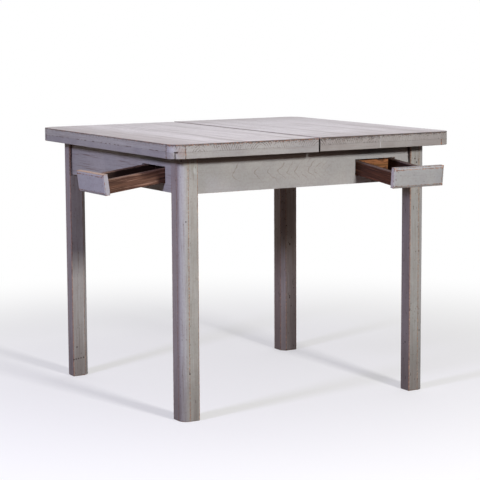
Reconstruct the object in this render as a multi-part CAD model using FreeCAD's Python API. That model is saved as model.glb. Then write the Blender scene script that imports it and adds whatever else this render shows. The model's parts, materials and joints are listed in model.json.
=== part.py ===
"""Small kitchen table with a top that draws apart and a shallow drawer in each of its four sides.

Millimetres. Origin on the floor under the middle of the table, +X to the right along the front,
+Y to the back, +Z up. The front and left drawers are stored pulled out, the other two closed.
"""

import FreeCAD
import Part
import math
import os

# Table top: two halves that meet at a seam, a little to the right of the middle of the frame.
left_overhang = 50.0
right_overhang = 58.0
front_overhang = 52.0
back_overhang = 47.3
top_corner_radius = 39.5
board_thickness = 22.0
edge_strip_thickness = 18.0
edge_strip_width = 70.0
seam_place = 5.0
seam_gap = 3.0
right_half_step = 1.2
left_inner_board_width = 241.0
right_inner_board_width = 207.0
top_arris_radius = 1.6

# Legs, with a rounded outer corner and a flat planed on the inner one; the frame is measured over them.
frame_length = 826.0
frame_width = 775.0
leg_length = 738.6
leg_section = 55.0
leg_outer_radius = 24.0
leg_inner_flat = 13.6
leg_arris_radius = 1.5
foot_chamfer = 2.0

# Aprons, tenoned into the legs.
apron_height = 102.0
apron_thickness = 22.0
apron_recess = 8.0
tenon_thickness = 8.0
tenon_shoulder = 10.0
tenon_crossing_gap = 6.0
peg_radius = 4.0
peg_stop = 9.0
peg_to_tenon_tip = 7.5
peg_low_height = 21.0
peg_high_height = 36.0

# Drawer openings in the aprons: the wood above them, the room round the drawer box, and how far
# they stand from the leg on the long and the short sides.
opening_head = 32.0
opening_side_gap = 2.25
opening_head_gap = 3.2
long_opening_inset = 51.0
short_opening_inset = 49.0

# Drawers: a bevelled front that laps over the opening, and a box nailed on its bottom board.
front_side_lap = 15.75
front_top_lap = 13.8
front_thickness = 15.5
front_drop = 1.0
bevel_width = 6.0
bevel_depth = 3.0
box_width = 135.5
box_height = 40.0
box_length = 230.0
drawer_side_thickness = 11.0
drawer_back_thickness = 12.0
drawer_bottom_thickness = 5.0
side_housing_depth = 6.0
side_arris_radius = 1.5
closed_gap = 0.4

# Where the drawers are stored: how far each is pulled out, and how far it then droops.
front_pull = 199.3
front_droop_degrees = 5.8
left_pull = 178.5
left_droop_degrees = 7.4

# Round rod in the sill of each opening, on which the drawer runs and tips.
rod_radius = 3.5
rod_setback = 5.0
rod_clearance = 0.05
rod_end_gap = 0.5
drawer_ride_gap = 0.3

# Laths under and beside the drawers.
bearer_width = 50.0
bearer_lift = 1.9
bearer_sink = 0.6
bearer_housing_depth = 6.0
guide_thickness = 12.0
guide_height = 28.0
guide_gap = 1.5

# Coulisses that carry the top: a grooved fixed rail with a tongued runner on each side.
top_draw = 200.0
top_running_gap = 0.8
rail_inset = 40.5
rail_thickness = 24.0
rail_housing_depth = 6.0
rail_end_gap = 10.0
coulisse_height = 39.0
runner_thickness = 20.0
runner_gap = 0.4
tongue_height = 8.2
tongue_depth = 5.5
tongue_play = 0.4
runner_stop_gap = 4.5
runner_reach = 300.0
screw_shank_radius = 2.2
screw_head_radius = 4.4
screw_head_height = 3.0
screw_sink = 12.0
screw_bite = 14.0
screw_end_distance = 35.0

# Glue blocks behind each leg.
block_width = 11.0
block_run = 17.0
block_height = 42.0
block_drop = 4.0

# Sizes and places worked out from those above.
leg_x = (frame_length - leg_section) / 2
leg_y = (frame_width - leg_section) / 2
long_face = frame_width / 2 - apron_recess
short_face = frame_length / 2 - apron_recess
long_inside = long_face - apron_thickness
short_inside = short_face - apron_thickness
long_clear = frame_length / 2 - leg_section
short_clear = frame_width / 2 - leg_section
front_rim = -frame_width / 2 - front_overhang
back_rim = frame_width / 2 + back_overhang
apron_bottom = leg_length - apron_height
tenon_inset = (apron_thickness - tenon_thickness) / 2
tenon_length = leg_section - apron_recess - tenon_inset - tenon_thickness - tenon_crossing_gap
peg_setback = tenon_length - peg_to_tenon_tip
peg_length = leg_section - peg_stop
opening_width = box_width + 2 * opening_side_gap
opening_top = leg_length - opening_head
sill = opening_top - opening_head_gap - box_height - drawer_ride_gap - rod_radius
rod_top = sill + rod_radius
box_bottom = rod_top + drawer_ride_gap
bearer_top = rod_top - bearer_sink
bearer_bottom = apron_bottom + bearer_lift
left_underside = leg_length + top_running_gap
coulisse_top = left_underside + edge_strip_thickness
coulisse_bottom = coulisse_top - coulisse_height
rail_offset = short_clear - rail_inset - rail_thickness / 2
rail_top_reach = frame_length / 2 + left_overhang - edge_strip_width - rail_end_gap
runner_fixed_length = short_inside - runner_stop_gap - top_draw - seam_gap / 2 - seam_place

# Each half of the top: which way it draws out, its outer end, the width of its inner board and
# how much higher it lies than the left half.
halves = {
    "left": (-1, -frame_length / 2 - left_overhang, left_inner_board_width, 0.0),
    "right": (1, frame_length / 2 + right_overhang, right_inner_board_width, right_half_step),
}

# The sides of the table and its legs go round it by quarter turns, from the front and the front left.
quarter_turn = 90
sides = ("front", "right", "back", "left")
leg_names = ("front_left_leg", "front_right_leg", "back_right_leg", "back_left_leg")
leg_directions = ((-1, -1), (1, -1), (1, 1), (-1, 1))

# What differs between the sides: distance of the apron's face from the middle, half the gap
# between the legs, how far the opening stands from the leg, and how the drawer is stored.
face_distance = {"front": long_face, "right": short_face, "back": long_face, "left": short_face}
half_clear = {"front": long_clear, "right": short_clear, "back": long_clear, "left": short_clear}
opening_inset = {
    "front": long_opening_inset,
    "right": short_opening_inset,
    "back": long_opening_inset,
    "left": short_opening_inset,
}
stored_pull = {"front": front_pull, "right": 0, "back": 0, "left": left_pull}
stored_droop = {"front": front_droop_degrees, "right": 0, "back": 0, "left": left_droop_degrees}

up = FreeCAD.Vector(0, 0, 1)
middle = FreeCAD.Vector(0, 0, 0)


def block(low, high):
    """Rectangular solid between two corners."""
    size = [b - a for a, b in zip(low, high)]
    return Part.makeBox(*size, FreeCAD.Vector(*low))


def outline(corners, height):
    """Flat closed wire at a height through (x, y, radius) corners, with tangent arcs where radius > 0."""
    points = [FreeCAD.Vector(x, y, height) for x, y, _ in corners]
    stretches = []
    for i, (_, _, radius) in enumerate(corners):
        point = points[i]
        back = (points[i - 1] - point).normalize()
        ahead = (points[(i + 1) % len(points)] - point).normalize()
        if radius == 0:
            stretches.append((point, None, point))
            continue
        half_angle = back.getAngle(ahead) / 2
        reach = radius / math.tan(half_angle)
        bisector = (back + ahead).normalize()
        crown = point + bisector * (radius / math.sin(half_angle) - radius)
        stretches.append((point + back * reach, crown, point + ahead * reach))
    edges = []
    for i, (start, crown, end) in enumerate(stretches):
        if crown is not None:
            edges.append(Part.Arc(start, crown, end).toShape())
        following = stretches[(i + 1) % len(stretches)][0]
        edges.append(Part.LineSegment(end, following).toShape())
    return Part.Wire(edges)


def plate(corners, bottom, thickness):
    """Flat piece with the given outline."""
    return Part.Face(outline(corners, bottom)).extrude(up * thickness)


def bar_along_x(section, start, end):
    """Straight piece along X with a section given as (y, z) points."""
    points = [FreeCAD.Vector(start, y, z) for y, z in section]
    wire = Part.makePolygon(points + points[:1])
    return Part.Face(wire).extrude(FreeCAD.Vector(end - start, 0, 0))


def turned(shape, side):
    """Copy of a shape made on the front side, turned about the middle of the table to another side."""
    copy = shape.copy()
    copy.rotate(middle, up, quarter_turn * sides.index(side))
    return copy


def edges_at_height(shape, height):
    """Edges that lie wholly at one height."""
    found = []
    for edge in shape.Edges:
        box = edge.BoundBox
        if abs(box.ZMin - height) < 1e-6 and abs(box.ZMax - height) < 1e-6:
            found.append(edge)
    return found


# ---------------------------------------------------------------- frame: aprons, legs, pegs


def opening_centre(side):
    """Distance of a drawer's middle to the right of the middle of its side."""
    return half_clear[side] - opening_inset[side] - opening_width / 2


def sill_rod(side, radius, length):
    """Round rod lying in the sill of an opening, on the front side before it is turned."""
    y = rod_setback - face_distance[side]
    start = FreeCAD.Vector(opening_centre(side) - length / 2, y, sill)
    return Part.makeCylinder(radius, length, start, FreeCAD.Vector(1, 0, 0))


def apron(side):
    """Rail between two legs with its tenons, the drawer opening and the trough of the sill rod."""
    face = face_distance[side]
    clear = half_clear[side]
    rail = block((-clear, -face, apron_bottom), (clear, apron_thickness - face, leg_length))
    tenon_front = tenon_inset - face
    reach = clear + tenon_length
    tenon = block(
        (-reach, tenon_front, apron_bottom + tenon_shoulder),
        (reach, tenon_front + tenon_thickness, leg_length - tenon_shoulder),
    )
    centre = opening_centre(side)
    opening = block(
        (centre - opening_width / 2, -face - 1, sill),
        (centre + opening_width / 2, apron_thickness - face + 1, opening_top),
    )
    trough = sill_rod(side, rod_radius + rod_clearance, opening_width)
    return turned(rail.fuse(tenon).cut(opening).cut(trough), side)


def leg(x, y, turn):
    """Square leg whose rounded corner faces outward."""
    half = leg_section / 2
    flat = leg_inner_flat
    corners = [
        (-half, -half, leg_outer_radius),
        (half, -half, leg_arris_radius),
        (half, half - flat, 0),
        (half - flat, half, 0),
        (-half, half, leg_arris_radius),
    ]
    post = plate(corners, 0, leg_length)
    post = post.makeChamfer(foot_chamfer, edges_at_height(post, 0))
    post.rotate(middle, up, turn)
    post.translate(FreeCAD.Vector(x, y, 0))
    return post


def pegs(x_sign, y_sign):
    """Two pegs of one leg, driven from its inner faces through the two tenons."""
    inner_x = x_sign * long_clear
    inner_y = y_sign * short_clear
    low = apron_bottom + peg_low_height
    high = apron_bottom + peg_high_height
    through_long = Part.makeCylinder(
        peg_radius,
        peg_length,
        FreeCAD.Vector(inner_x + x_sign * peg_setback, inner_y, low),
        FreeCAD.Vector(0, y_sign, 0),
    )
    through_short = Part.makeCylinder(
        peg_radius,
        peg_length,
        FreeCAD.Vector(inner_x, inner_y + y_sign * peg_setback, high),
        FreeCAD.Vector(x_sign, 0, 0),
    )
    return [through_long, through_short]


def glue_blocks(x_sign, y_sign):
    """Two small triangular blocks of one leg, in the corners that it makes with its aprons."""
    high = leg_length - block_drop
    low = high - block_height
    on_short = [
        (short_inside, short_clear),
        (short_inside - block_width, short_clear),
        (short_inside, short_clear - block_run),
    ]
    on_long = [
        (long_clear, long_inside),
        (long_clear, long_inside - block_width),
        (long_clear - block_run, long_inside),
    ]
    made = []
    for triangle in (on_short, on_long):
        corners = [(x_sign * x, y_sign * y, 0) for x, y in triangle]
        made.append(plate(corners, low, high - low))
    return made


# ---------------------------------------------------------------- what carries the drawers


def bearer(x):
    """Lath from the front apron to the back one, under the drawers."""
    reach = long_inside + bearer_housing_depth
    low = (x - bearer_width / 2, -reach, bearer_bottom)
    return block(low, (x + bearer_width / 2, reach, bearer_top))


def guides(side):
    """Pair of laths that keep a drawer straight, one on each side of its box."""
    face = face_distance[side]
    centre = opening_centre(side)
    inside = apron_thickness - face
    tail = box_length - closed_gap - face
    made = []
    for sign in (-1, 1):
        near = centre + sign * (box_width / 2 + guide_gap)
        far = near + sign * guide_thickness
        low = (min(near, far), inside, bearer_top)
        lath = block(low, (max(near, far), tail, bearer_top + guide_height))
        made.append(turned(lath, side))
    return made


# ---------------------------------------------------------------- drawers


def drawer(side):
    """Pieces of one drawer by name, closed and level, on the front side before it is turned."""
    centre = opening_centre(side)
    seat = -face_distance[side] - closed_gap
    tail = seat + box_length
    left = centre - box_width / 2
    right = centre + box_width / 2
    bottom_top = box_bottom + drawer_bottom_thickness
    box_top = box_bottom + box_height
    bottom = block((left, seat, box_bottom), (right, tail, bottom_top))
    pieces = {"bottom": bottom}
    for name, start in (("left_side", left), ("right_side", right - drawer_side_thickness)):
        low = (start, seat - side_housing_depth, bottom_top)
        board = block(low, (start + drawer_side_thickness, tail, box_top))
        long_edges = [e for e in edges_at_height(board, box_top) if e.Length > box_length]
        pieces[name] = board.makeFillet(side_arris_radius, long_edges)
    pieces["back"] = block(
        (left + drawer_side_thickness, tail - drawer_back_thickness, bottom_top),
        (right - drawer_side_thickness, tail, box_top),
    )
    face_low = box_bottom - front_drop
    face_high = opening_top + front_top_lap
    half_front = opening_width / 2 + front_side_lap
    slab = block(
        (centre - half_front, seat - front_thickness + bevel_depth, face_low),
        (centre + half_front, seat, face_high),
    )
    rims = []
    for inset, y in ((0, seat - front_thickness + bevel_depth), (bevel_width, seat - front_thickness)):
        x0 = centre - half_front + inset
        x1 = centre + half_front - inset
        z0 = face_low + inset
        z1 = face_high - inset
        ring = [(x0, z0), (x1, z0), (x1, z1), (x0, z1), (x0, z0)]
        rims.append(Part.makePolygon([FreeCAD.Vector(x, y, z) for x, z in ring]))
    field = Part.makeLoft(rims, True)
    front = slab.fuse(field).removeSplitter()
    pieces["front"] = front.cut(pieces["left_side"]).cut(pieces["right_side"])
    return pieces


def stored_pose(shape, side):
    """Copy of a closed drawer's piece, pulled out, drooping over the sill rod and turned to its side."""
    copy = shape.copy()
    copy.translate(FreeCAD.Vector(0, -stored_pull[side], 0))
    pivot = FreeCAD.Vector(opening_centre(side), rod_setback - face_distance[side], sill)
    copy.rotate(pivot, FreeCAD.Vector(1, 0, 0), stored_droop[side])
    return turned(copy, side)


# ---------------------------------------------------------------- top


def seam_edge(half):
    """Where a half ends at the seam."""
    sign, _, _, _ = halves[half]
    return seam_place + sign * seam_gap / 2


def half_corners(half):
    """Outline of one half of the top, rounded at its outer corners."""
    _, outer_end, _, _ = halves[half]
    near = seam_edge(half)
    corners = [
        (outer_end, front_rim, top_corner_radius),
        (near, front_rim, 0),
        (near, back_rim, 0),
        (outer_end, back_rim, top_corner_radius),
    ]
    return corners


def half_underside(half):
    """Height of the underside of one half's edge strips."""
    _, _, _, step = halves[half]
    return left_underside + step


def boards(half):
    """Outer and inner board of one half, with worn arrises along the top."""
    sign, outer_end, inner_board_width, _ = halves[half]
    bottom = half_underside(half) + edge_strip_thickness
    slab = plate(half_corners(half), bottom, board_thickness)
    slab = slab.makeFillet(top_arris_radius, edges_at_height(slab, bottom + board_thickness))
    cut_from = sorted((seam_edge(half) + sign * inner_board_width, outer_end + sign))
    beyond = block(
        (cut_from[0], front_rim - 1, bottom - 1),
        (cut_from[1], back_rim + 1, bottom + board_thickness + 1),
    )
    return slab.common(beyond), slab.cut(beyond)


def edge_strips(half):
    """Front, back and outer strips glued under the rim of one half, mitred at the corners."""
    sign, tip, _, _ = halves[half]
    bottom = half_underside(half)
    slab = plate(half_corners(half), bottom, edge_strip_thickness)
    slab = slab.makeFillet(top_arris_radius, edges_at_height(slab, bottom))
    near = seam_edge(half)
    inside = tip - sign * edge_strip_width
    front_inside = front_rim + edge_strip_width
    back_inside = back_rim - edge_strip_width
    cuts = {
        "front": [(tip, front_rim), (near, front_rim), (near, front_inside), (inside, front_inside)],
        "back": [(tip, back_rim), (near, back_rim), (near, back_inside), (inside, back_inside)],
        "outer": [(tip, front_rim), (inside, front_inside), (inside, back_inside), (tip, back_rim)],
    }
    made = {}
    for name, corners in cuts.items():
        cut = plate([(x, y, 0) for x, y in corners], bottom, edge_strip_thickness)
        made[name] = slab.common(cut)
    return made


def guide_rail(y):
    """Fixed rail housed in the left and right aprons, grooved on both sides for the runners."""
    reach = short_inside + rail_housing_depth
    half = rail_thickness / 2
    top = coulisse_top - top_running_gap
    housed = block((-reach, y - half, coulisse_bottom), (reach, y + half, leg_length))
    upper = block((-rail_top_reach, y - half, leg_length), (rail_top_reach, y + half, top))
    bar = housed.fuse(upper).removeSplitter()
    centre = coulisse_bottom + coulisse_height / 2
    groove = tongue_height / 2 + tongue_play
    depth = tongue_depth - runner_gap + tongue_play
    for face in (-1, 1):
        sides_of_groove = sorted((y + face * half, y + face * (half - depth)))
        slot = block(
            (-reach, sides_of_groove[0], centre - groove),
            (reach, sides_of_groove[1], centre + groove),
        )
        bar = bar.cut(slot)
    return bar


def runner(half, y_rail, face):
    """Tongued runner of one half, on one face of a guide rail and relieved under the other half."""
    sign, _, _, _ = halves[half]
    start = y_rail + face * (rail_thickness / 2 + runner_gap)
    end = start + face * runner_thickness
    tip = start - face * tongue_depth
    centre = coulisse_bottom + coulisse_height / 2
    top = half_underside(half) + edge_strip_thickness
    section = [
        (end, coulisse_bottom),
        (end, top),
        (start, top),
        (start, centre + tongue_height / 2),
        (tip, centre + tongue_height / 2),
        (tip, centre - tongue_height / 2),
        (start, centre - tongue_height / 2),
        (start, coulisse_bottom),
    ]
    near = seam_edge(half)
    far_end = near - sign * runner_reach
    bar = bar_along_x(section, near + sign * runner_fixed_length, far_end)
    x_range = sorted((near, far_end - sign))
    y_range = sorted((start, end))
    relief = block(
        (x_range[0], y_range[0] - 1, coulisse_top - top_running_gap),
        (x_range[1], y_range[1] + 1, top + 1),
    )
    return bar.cut(relief)


def runner_screws(half, y_rail, face):
    """Two screws driven up through a runner into the boards, each with the hole bored for its head."""
    sign, _, _, _ = halves[half]
    y = y_rail + face * (rail_thickness / 2 + runner_gap + runner_thickness / 2)
    top = half_underside(half) + edge_strip_thickness
    made = []
    for distance in (screw_end_distance, runner_fixed_length - screw_end_distance):
        x = seam_edge(half) + sign * distance
        head_bottom = coulisse_bottom + screw_sink
        head = Part.makeCone(
            screw_head_radius,
            screw_shank_radius,
            screw_head_height,
            FreeCAD.Vector(x, y, head_bottom),
        )
        shank_start = head_bottom + screw_head_height
        shank = Part.makeCylinder(
            screw_shank_radius,
            top + screw_bite - shank_start,
            FreeCAD.Vector(x, y, shank_start),
        )
        access = Part.makeCylinder(screw_head_radius, screw_sink, FreeCAD.Vector(x, y, coulisse_bottom))
        made.append((head.fuse(shank), access))
    return made


# ---------------------------------------------------------------- the whole table


def cut_all(shape, others):
    """Shape with every one of the other solids taken out of it."""
    for other in others:
        shape = shape.cut(other)
    return shape


def frame_pieces():
    """Legs, aprons, pegs, glue blocks, bearers, guides and guide rails."""
    rails = {"guide_rail_front": guide_rail(-rail_offset), "guide_rail_back": guide_rail(rail_offset)}
    drawer_middle = opening_centre("front")
    bearer_spread = (box_width + 2 * guide_gap + 2 * guide_thickness - bearer_width) / 2
    bearers = {}
    for name, sign in (("left", -1), ("right", 1)):
        bearers["drawer_bearer_" + name + "_outer"] = bearer(sign * (drawer_middle + bearer_spread))
        bearers["drawer_bearer_" + name + "_inner"] = bearer(sign * (drawer_middle - bearer_spread))
    all_pegs = []
    all_blocks = []
    for x_sign, y_sign in leg_directions:
        all_pegs += pegs(x_sign, y_sign)
        all_blocks += glue_blocks(x_sign, y_sign)
    housed = list(rails.values()) + list(bearers.values()) + all_pegs
    pieces = {}
    aprons = []
    for side in sides:
        made = cut_all(apron(side), housed)
        aprons.append(made)
        pieces[side + "_apron"] = made
    for number, name in enumerate(leg_names):
        x_sign, y_sign = leg_directions[number]
        post = leg(x_sign * leg_x, y_sign * leg_y, quarter_turn * number)
        pieces[name] = cut_all(post, aprons + all_pegs)
    pieces.update(rails)
    pieces.update(bearers)
    pieces["tenon_pegs"] = Part.makeCompound(all_pegs)
    pieces["glue_blocks"] = Part.makeCompound(all_blocks)
    for side in sides:
        pieces[side + "_drawer_guides"] = Part.makeCompound(guides(side))
    return pieces


def drawer_pieces():
    """Four drawers and the rods they run on."""
    pieces = {}
    for side in sides:
        for name, shape in drawer(side).items():
            pieces[side + "_drawer_" + name] = stored_pose(shape, side)
        rod = sill_rod(side, rod_radius, opening_width - 2 * rod_end_gap)
        pieces[side + "_sill_rod"] = turned(rod, side)
    return pieces


def top_pieces():
    """Both halves of the top with their strips, runners and screws."""
    pieces = {}
    for half, (sign, _, _, _) in halves.items():
        outer_board, inner_board = boards(half)
        screws = []
        for place, y_rail in (("front", -rail_offset), ("back", rail_offset)):
            bar = runner(half, y_rail, -sign)
            for screw, access in runner_screws(half, y_rail, -sign):
                bar = cut_all(bar, [screw, access])
                inner_board = inner_board.cut(screw)
                screws.append(screw)
            pieces[half + "_top_runner_" + place] = bar
        pieces[half + "_top_board_outer"] = outer_board
        pieces[half + "_top_board_inner"] = inner_board
        pieces[half + "_runner_screws"] = Part.makeCompound(screws)
        for place, strip in edge_strips(half).items():
            pieces[half + "_edge_strip_" + place] = strip
    return pieces


os.makedirs("parts", exist_ok=True)
for pieces in (frame_pieces(), drawer_pieces(), top_pieces()):
    for name, shape in pieces.items():
        shape.exportStep("parts/" + name + ".step")
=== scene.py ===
import bmesh
import bpy
import json
import math
from mathutils import Matrix, Vector, kdtree, noise

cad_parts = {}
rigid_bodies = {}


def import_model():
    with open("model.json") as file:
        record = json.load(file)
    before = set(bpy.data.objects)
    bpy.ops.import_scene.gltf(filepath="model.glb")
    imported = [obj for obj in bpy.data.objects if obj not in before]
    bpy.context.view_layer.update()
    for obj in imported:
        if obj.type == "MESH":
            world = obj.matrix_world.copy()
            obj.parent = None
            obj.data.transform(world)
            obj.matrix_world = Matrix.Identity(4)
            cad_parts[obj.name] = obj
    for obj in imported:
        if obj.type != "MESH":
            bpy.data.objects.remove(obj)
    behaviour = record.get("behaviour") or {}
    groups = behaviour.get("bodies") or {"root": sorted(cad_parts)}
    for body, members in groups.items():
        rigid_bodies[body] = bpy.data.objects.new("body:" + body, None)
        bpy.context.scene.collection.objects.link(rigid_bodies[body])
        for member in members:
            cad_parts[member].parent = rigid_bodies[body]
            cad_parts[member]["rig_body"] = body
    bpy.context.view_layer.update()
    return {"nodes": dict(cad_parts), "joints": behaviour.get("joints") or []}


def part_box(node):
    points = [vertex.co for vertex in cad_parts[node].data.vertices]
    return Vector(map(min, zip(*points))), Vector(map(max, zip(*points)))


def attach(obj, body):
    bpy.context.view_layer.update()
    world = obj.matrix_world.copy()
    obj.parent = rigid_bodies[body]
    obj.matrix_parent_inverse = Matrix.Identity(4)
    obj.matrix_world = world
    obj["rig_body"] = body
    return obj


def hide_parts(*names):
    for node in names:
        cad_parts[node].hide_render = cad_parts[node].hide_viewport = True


# Finish of a small kitchen table in worn grey chalk paint: pine boards whose arrises are rubbed through to
# brown wood, drawers of dark stained wood, bare laths inside. Metres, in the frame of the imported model.

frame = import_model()
nodes = frame["nodes"]
joints = {joint["name"]: joint for joint in frame["joints"]}

mm = 0.001
right, back, up = Vector((1, 0, 0)), Vector((0, 1, 0)), Vector((0, 0, 1))

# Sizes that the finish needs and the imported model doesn't name.
top_corner_radius = 39.5 * mm
leg_outer_radius = 24 * mm
leg_inner_flat = 13.6 * mm
least_round = 4 * mm
arris_reach = 6 * mm
arris_stops = (1.2 * mm, 2.6 * mm, arris_reach)
rub_reach = 3 * mm
mitre_gap = 1.6 * mm

# -------------------- colours and shader nodes


def linear(code):
    """Linear RGBA of an sRGB hex colour."""
    parts = [int(code[i : i + 2], 16) / 255 for i in (1, 3, 5)]
    return [c / 12.92 if c <= 0.04045 else ((c + 0.055) / 1.055) ** 2.4 for c in parts] + [1.0]


def add(tree, kind, links=None, **settings):
    """Adds a shader node, with its settings, and sets or links its inputs."""
    node = tree.nodes.new("ShaderNode" + kind)
    for name, value in settings.items():
        setattr(node, name, value)
    for key, value in (links or {}).items():
        if isinstance(value, bpy.types.NodeSocket):
            tree.links.new(value, node.inputs[key])
        else:
            node.inputs[key].default_value = value
    return node


def new_material(name):
    """Empty material with its output and principled shader, which is returned with the tree."""
    material = bpy.data.materials.new(name)
    material.use_nodes = True
    tree = material.node_tree
    tree.nodes.clear()
    shader = add(tree, "BsdfPrincipled")
    add(tree, "OutputMaterial", {"Surface": shader.outputs[0]})
    return material, tree, shader


def wire(tree, shader, colour, roughness, bumps=None, **numbers):
    """Links the colour, the roughness and the bumps (relief, strength, depth), and sets even values."""
    tree.links.new(colour, shader.inputs["Base Color"])
    tree.links.new(roughness, shader.inputs["Roughness"])
    for name, value in numbers.items():
        shader.inputs[name.replace("_", " ")].default_value = value
    if bumps:
        bump = add(tree, "Bump", dict(zip(("Height", "Strength", "Distance"), bumps)))
        tree.links.new(bump.outputs[0], shader.inputs["Normal"])


def ring_scale(spacing):
    """Wave scale whose rings are a spacing apart."""
    return math.tau / 20 / spacing


def along_grain(tree, along, across, stretch=1, offset=(0, 0, 0)):
    """Coordinates in metres turned so that X follows the grain, and shortened along it by the stretch."""
    turn = Matrix((along, across, along.cross(across))).to_euler()
    place = add(tree, "TexCoord").outputs["Object"]
    turned = add(tree, "Mapping", {"Vector": place, "Rotation": turn, "Location": offset})
    return add(tree, "Mapping", {"Vector": turned.outputs[0], "Scale": (1 / stretch, 1, 1)}).outputs[0]


def noise_at(tree, vector, width, detail, roughness):
    """Noise value from 0 to 1 at a place, with marks about a width across."""
    links = {"Vector": vector, "Scale": 1 / width, "Detail": detail, "Roughness": roughness}
    return add(tree, "TexNoise", links).outputs["Fac"]


def ramp(tree, value, low, high, to_low=0.0, to_high=1.0):
    """Value carried smoothly from one range to another, and held at its ends."""
    links = {"Value": value, "From Min": low, "From Max": high, "To Min": to_low, "To Max": to_high}
    return add(tree, "MapRange", links, interpolation_type="SMOOTHSTEP").outputs[0]


def reckon(tree, operation, *values):
    """Result of a sum on one, two or three values."""
    return add(tree, "Math", dict(enumerate(values)), operation=operation).outputs[0]


def times(tree, first, second):
    """Product of two values."""
    return reckon(tree, "MULTIPLY", first, second)


def place_along(tree, axis):
    """Where a point stands along X, Y or Z."""
    place = add(tree, "TexCoord").outputs["Object"]
    return add(tree, "SeparateXYZ", {0: place}).outputs[axis]


def blend(tree, share, first, second):
    """Colour between two, by a share. A colour is a socket or an sRGB hex code."""
    first, second = (linear(colour) if isinstance(colour, str) else colour for colour in (first, second))
    return add(tree, "Mix", {"Factor": share, 6: first, 7: second}, data_type="RGBA").outputs[2]


def facing(tree, direction):
    """How squarely a surface faces along a direction, from -1 to 1."""
    normal = add(tree, "NewGeometry").outputs["Normal"]
    return add(tree, "VectorMath", {0: normal, 1: direction}, operation="DOT_PRODUCT").outputs["Value"]


def spots(tree, places, reach):
    """Mask that is 1 in small spots round some places."""
    here = add(tree, "TexCoord").outputs["Object"]
    nearest = 1.0
    for place in places:
        away = add(tree, "VectorMath", {0: here, 1: place}, operation="DISTANCE").outputs["Value"]
        nearest = reckon(tree, "MINIMUM", nearest, away)
    return ramp(tree, nearest, 0.6 * reach, 1.2 * reach, 1.0, 0.0)


# -------------------- finishes


def cathedral(tree, along, across, tip, opening, roundness, pace, length):
    """Growth rings of a trunk cut lengthwise, 1 on a ring: arches whose tips follow each other on the grain.

    tip is the first tip in grain coordinates, opening how fast an arch widens, roundness the radius of its
    tip, pace the arches in a metre at the first tip and how that grows, and length how far they run.
    """
    grain = along_grain(tree, along, across)
    from_tip = add(tree, "VectorMath", {0: grain, 1: tip}, operation="SUBTRACT").outputs[0]
    parts = add(tree, "SeparateXYZ", {0: from_tip}).outputs
    waviness = noise_at(tree, along_grain(tree, along, across, 2), 30 * mm, 2, 0.5)
    sideways = reckon(tree, "MULTIPLY_ADD", reckon(tree, "SUBTRACT", waviness, 0.5), 40 * mm, parts["Y"])
    heart = add(tree, "CombineXYZ", {0: roundness, 1: sideways}).outputs[0]
    radius = add(tree, "VectorMath", {0: heart}, operation="LENGTH").outputs["Value"]
    back_from_tip = times(tree, reckon(tree, "SUBTRACT", radius, roundness), 1 / opening)
    run = reckon(tree, "SUBTRACT", parts["X"], back_from_tip)
    first_pace, growth = pace
    count = times(tree, run, reckon(tree, "MULTIPLY_ADD", run, growth, first_pace))
    pace_here = reckon(tree, "MULTIPLY_ADD", run, 2 * growth, first_pace)
    half = reckon(tree, "SUBTRACT", reckon(tree, "FRACT", reckon(tree, "ADD", count, 0.5)), 0.5)
    ring_gap = reckon(tree, "DIVIDE", reckon(tree, "ABSOLUTE", half), pace_here)
    on_ring = ramp(tree, ring_gap, 0.6 * mm, 2.4 * mm, 1.0, 0.0)
    begun = ramp(tree, run, -15 * mm, -5 * mm)
    not_ended = ramp(tree, run, length - 70 * mm, length, 1.0, 0.0)
    on_ring = times(tree, on_ring, ramp(tree, radius, 18 * mm, 38 * mm, 1.0, 0.2))
    return times(tree, on_ring, times(tree, begun, not_ended))


def end_arcs(tree, along, across, spacing, plank, centre):
    """Growth rings on the ends of glued planks, which lean one way and the other by turns."""
    grain = along_grain(tree, along, across, 60, (0, 0, -centre[2]))
    parts = add(tree, "SeparateXYZ", {0: grain}).outputs
    turned = reckon(tree, "ADD", reckon(tree, "PINGPONG", parts["Y"], plank), 0.25 * plank)
    place = add(tree, "CombineXYZ", {0: parts["X"], 1: turned, 2: parts["Z"]}).outputs[0]
    links = {
        "Vector": place,
        "Scale": ring_scale(spacing),
        "Distortion": 3.0,
        "Detail": 1.5,
        "Detail Scale": 0.8,
        "Detail Roughness": 0.5,
    }
    wave = add(tree, "TexWave", links, wave_type="RINGS", rings_direction="X", wave_profile="SIN")
    return wave.outputs["Fac"]


# Tones that show in the grey paint or through it, and tones of painted shade.
tones = {
    "grit": "#857a74",
    "thin_paint": "#6b564c",
    "thick_paint": "#b9b7b8",
    # painted shade towards the floor
    "shade_at_foot": "#5d534e",
    # painted shade under the overhang of the top
    "shade_under_top": "#463932",
    "late_wood": "#6f5b4c",
    "saw_marks": "#5a4e47",
    "filler": "#cbc9ca",
    "touched_wood": "#b99676",
    "crack": "#45291f",
    # painted shade inside the seam
    "shade_in_seam": "#1c1410",
    "rubbed_seam": "#a8958c",
    "pores": "#43322c",
    "nail_holes": "#33241e",
}


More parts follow.
